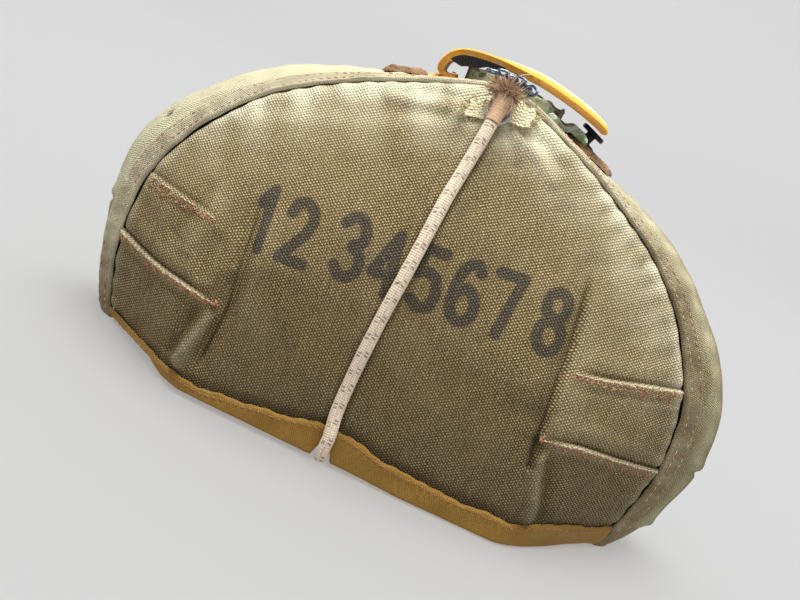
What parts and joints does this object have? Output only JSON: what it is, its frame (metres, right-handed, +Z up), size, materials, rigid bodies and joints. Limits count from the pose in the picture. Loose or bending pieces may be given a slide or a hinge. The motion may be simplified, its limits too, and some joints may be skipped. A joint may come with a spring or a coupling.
{
  "type": "canteen",
  "caption": "Half-moon water bottle in a canvas cover with taped hem, elastic cord over the front, screw cap with chain and a webbing strap closed by a press stud.",
  "frame": {"origin": "bottom centre of the whole object, on the plane the hem stands on", "axes": "+Z up from the open hem to the cap, -Y the face with the elastic cord, +X to the right as seen facing that side"},
  "size_m": [0.3026, 0.1096, 0.1806],
  "materials": {
    "canvas": "coarse olive drab cotton duck",
    "binding": "woven olive bias tape",
    "hem_tape": "mustard herringbone tape",
    "felt": "grey wool felt",
    "alloy": "plain pressed aluminium",
    "cap_plastic": "black, glossy",
    "seal": "brown rubber",
    "chain_steel": "blued steel wire",
    "camo": "printed camouflage cloth",
    "yoke_cloth": "brown woven cloth",
    "strap_webbing": "yellow-orange webbing",
    "patch_webbing": "pale yellow webbing, frayed",
    "cord_sleeve": "braided elastic cord sleeve",
    "whipping": "brown thread whipping",
    "eyelet_steel": "plated steel",
    "stud_metal": "black enamelled steel",
    "loop_webbing": "olive webbing"
  },
  "bodies": {
    "cover_and_bottle": {"cover_front_panel": "canvas", "cover_back_panel": "canvas", "cover_gusset": "canvas", "seam_binding_front": "binding", "seam_binding_back": "binding", "hem_tape_front": "hem_tape", "hem_tape_back": "hem_tape", "felt_lining_front": "felt", "felt_lining_back": "felt", "bottle_front_half": "alloy", "bottle_back_half": "alloy", "bottle_neck": "alloy", "neck_collar": "camo", "yoke_left": "yoke_cloth", "yoke_right": "yoke_cloth", "strap_anchor": "strap_webbing", "snap_stud": "stud_metal", "chain_link_1": "chain_steel", "chain_link_2": "chain_steel", "chain_link_3": "chain_steel", "chain_link_4": "chain_steel", "chain_link_5": "chain_steel", "chain_link_6": "chain_steel", "patch_front": "patch_webbing", "patch_back": "patch_webbing", "eyelet_front": "eyelet_steel", "eyelet_back": "eyelet_steel", "shock_cord": "cord_sleeve", "cord_whipping_front": "whipping", "cord_tuft": "whipping", "cord_whipping_back": "whipping", "belt_loop_left": "loop_webbing", "belt_loop_right": "loop_webbing"},
    "cap_lift_body": {"cap_swivel_ring": "chain_steel"},
    "cap_body": {"cap": "cap_plastic", "cap_gasket": "seal"},
    "strap_body": {"retaining_strap": "strap_webbing", "snap_socket": "stud_metal"}
  },
  "joints": [
    {"name": "strap_open", "type": "hinge", "parent": "cover_and_bottle", "child": "strap_body", "pos_m": [-0.031, 0.01565, 0.165], "axis": [0, -1, 0], "range_deg": [0, 110]},
    {"name": "cap_rise", "type": "slide", "parent": "cover_and_bottle", "child": "cap_lift_body", "axis": [0, 0, 1], "range_m": [0, 0.004]},
    {"name": "cap_spin", "type": "hinge", "parent": "cap_lift_body", "child": "cap_body", "pos_m": [0, 0.01515, 0.16], "axis": [0, 0, 1], "range_deg": [0, 360]}
  ],
  "couplings": [
    {"joint": "cap_rise", "follows": "cap_spin", "m_per_rad": 0.000636}
  ]
}
